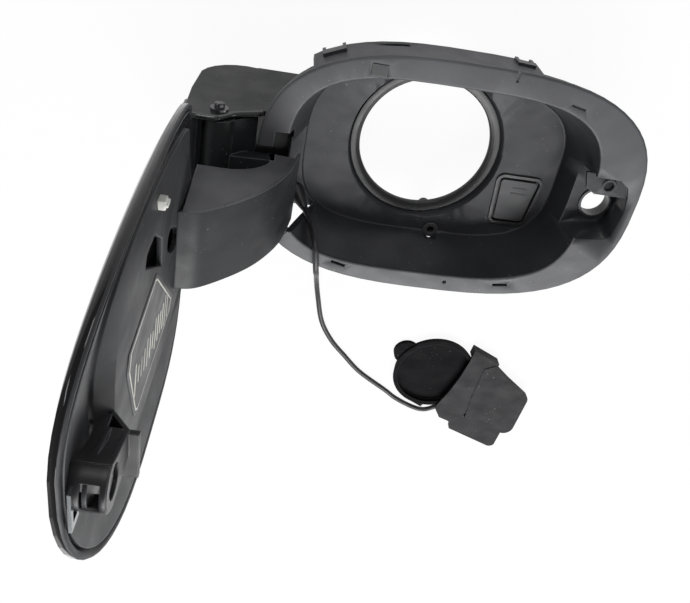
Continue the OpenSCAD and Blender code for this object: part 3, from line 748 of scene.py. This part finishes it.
bars = node_piece(
    "label_bars", {"Rows": ("NodeSocketInt", 13), "Pitch": ("NodeSocketFloat", 0.0060),
                   "Seed": ("NodeSocketInt", 7)}, slanted_rows, foil_pale,
    door_open @ Matrix.Translation((-0.026, -0.041, 0.05606))
    @ Matrix.Rotation(math.radians(9.5), 4, "Z"))
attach(bars, "door")
label_edge = [Vector((x / 1000, y / 1000)) for x, y in (
    (6, -2), (57, -6), (60, -14), (46, -48), (42, -51), (-37, -51), (-42, -46), (2, -4))]
label_centre = Vector((0.014, -0.032))
work = bmesh.new()
border_outer, border_inner, border_low, border_high = 0.0020, 0.0029, 0.05602, 0.05612
border = [[work.verts.new(door_open @ Vector((*label_centre.lerp(p, 1 - inset / 0.03), z)))
           for p in label_edge]
          for inset, z in ((border_outer, border_high), (border_outer, border_low),
                           (border_inner, border_low), (border_inner, border_high))]
for ring_a, ring_b in zip(border, border[1:] + border[:1]):
    joined(work, ring_a, ring_b)
made_piece(work, "label_border", "door", [foil_pale])

# Door skin. Pressed outer panel of the door, glossy black paint outside and over the rolled
# edge, and a duller thin coat inside.
gloss_black, nodes, links, shader = finish("gloss_black", (0.006, 0.006, 0.007), 0.0, 0.14)
shader.inputs["Coat Weight"].default_value = 0.1
shader.inputs["Coat Roughness"].default_value = 0.04
shader.inputs["Specular IOR Level"].default_value = 0.34
peel = nodes.new("ShaderNodeBump")
peel.inputs["Strength"].default_value = 0.12
peel.inputs["Distance"].default_value = 0.00002
links.new(object_noise(nodes, links, 700.0, 2.0), peel.inputs["Height"])
links.new(peel.outputs["Normal"], shader.inputs["Normal"])
links.new(ranged(nodes, links, object_noise(nodes, links, 40.0, 5.0), 0.3, 0.7, 0.07, 0.13),
          shader.inputs["Roughness"])
inner_coat = moulded("inner_coat", (0.034, 0.035, 0.038), 0.52, dust=0.05, edge=0.0002, gloss=0.3)
outward = (door_open.to_3x3() @ Vector((0, 0, 1))).normalized()
smooth_copy("door_skin", "door_skin_panel", "door", [gloss_black, inner_coat],
            50.0, pick=lambda face: int(face.normal.dot(outward) < -0.15))

# Boot of the tether. A tapered rubber strain relief, moulded onto the strap where it leaves the
# hinge window.
smooth_copy("tether_boot", "tether_boot_rubber", "frame", [strap_rubber])

# Dust cap. A soft rubber disc with a finger tab, held in a firmer plastic grip whose band runs
# over the disc.
cap_rubber = moulded("cap_rubber", (0.004, 0.004, 0.005), 0.78, gloss=0.12, grain=0.0007,
                     depth=0.00005)
grip_black = moulded("grip_black", (0.009, 0.009, 0.011), 0.54, gloss=0.20)
cap_disc = smooth_copy("cap_disc", "cap_disc_rubber", "frame", [cap_rubber],
                       rounded=0.0006)
cap_grip = smooth_copy("cap_grip", "cap_grip_moulding", "frame", [grip_black],
                       rounded=0.0007)

# Studio. A white table and white surroundings with broad soft lamps above, so that the black
# plastic shows its shape by reflection.
table_mesh = bpy.data.meshes.new("table")
reach, table_top = 3.0, -0.0311
table_mesh.from_pydata([(x * reach, y * reach, table_top)
                        for x, y in ((-1, -1), (1, -1), (1, 1), (-1, 1))], [], [(0, 1, 2, 3)])
table = put("table", table_mesh)
seen_direct, seen_in_gloss = 0.94, 0.38
white, nodes, links, shader = finish("table_white", (0.86, 0.86, 0.86), 0.0, 0.9)
glow = nodes.new("ShaderNodeEmission")
glow.inputs["Color"].default_value = (1.0, 1.0, 1.0, 1.0)
ray = nodes.new("ShaderNodeLightPath")
share = nodes.new("ShaderNodeMath")
share.operation = "MULTIPLY_ADD"
share.inputs[1].default_value = seen_in_gloss
share.use_clamp = True
mixer = nodes.new("ShaderNodeMixShader")
direct = nodes.new("ShaderNodeMath")
direct.operation = "MAXIMUM"
links.new(ray.outputs["Is Camera Ray"], direct.inputs[0])
links.new(ray.outputs["Is Transmission Ray"], direct.inputs[1])
whole = nodes.new("ShaderNodeMath")
whole.operation = "MULTIPLY"
whole.inputs[1].default_value = seen_direct
links.new(direct.outputs[0], whole.inputs[0])
links.new(ray.outputs["Is Glossy Ray"], share.inputs[0])
links.new(whole.outputs[0], share.inputs[2])
links.new(share.outputs[0], mixer.inputs["Fac"])
links.new(shader.outputs["BSDF"], mixer.inputs[1])
links.new(glow.outputs["Emission"], mixer.inputs[2])
links.new(mixer.outputs["Shader"], nodes["Material Output"].inputs["Surface"])
table_mesh.materials.append(white)

world = bpy.data.worlds.new("studio")
bpy.context.scene.world = world
world.use_nodes = True
nodes, links = world.node_tree.nodes, world.node_tree.links
sky = nodes["Background"]
sky.inputs["Color"].default_value = (1.0, 1.0, 1.0, 1.0)
ray = nodes.new("ShaderNodeLightPath")
seen = nodes.new("ShaderNodeMath")
seen.operation = "MAXIMUM"
links.new(ray.outputs["Is Camera Ray"], seen.inputs[0])
links.new(ray.outputs["Is Transmission Ray"], seen.inputs[1])
ambient = 0.24
links.new(ranged(nodes, links, seen.outputs[0], 0.0, 1.0, ambient, 1.0), sky.inputs["Strength"])


def softbox(name, place, target, size, power):
    lamp = bpy.data.lights.new(name, "AREA")
    lamp.shape = "RECTANGLE"
    lamp.size, lamp.size_y = size
    lamp.energy = power
    box = put(name, lamp)
    box.location = place
    box.rotation_euler = (Vector(target) - Vector(place)).to_track_quat("-Z", "Y").to_euler()


softbox("lamp_far", (0.22, -0.95, 1.10), (0.0, -0.03, 0.0), (1.2, 0.8), 24.0)
softbox("lamp_right", (1.25, -0.75, 0.50), (0.0, -0.03, 0.0), (0.7, 0.5), 3.0)
softbox("lamp_left", (-1.05, 0.15, 0.70), (-0.12, -0.03, 0.08), (0.12, 0.5), 1.0)
softbox("lamp_near", (-0.10, 1.10, 0.75), (-0.05, 0.0, 0.0), (0.6, 0.4), 4.0)

bpy.context.scene.view_settings.view_transform = "Standard"
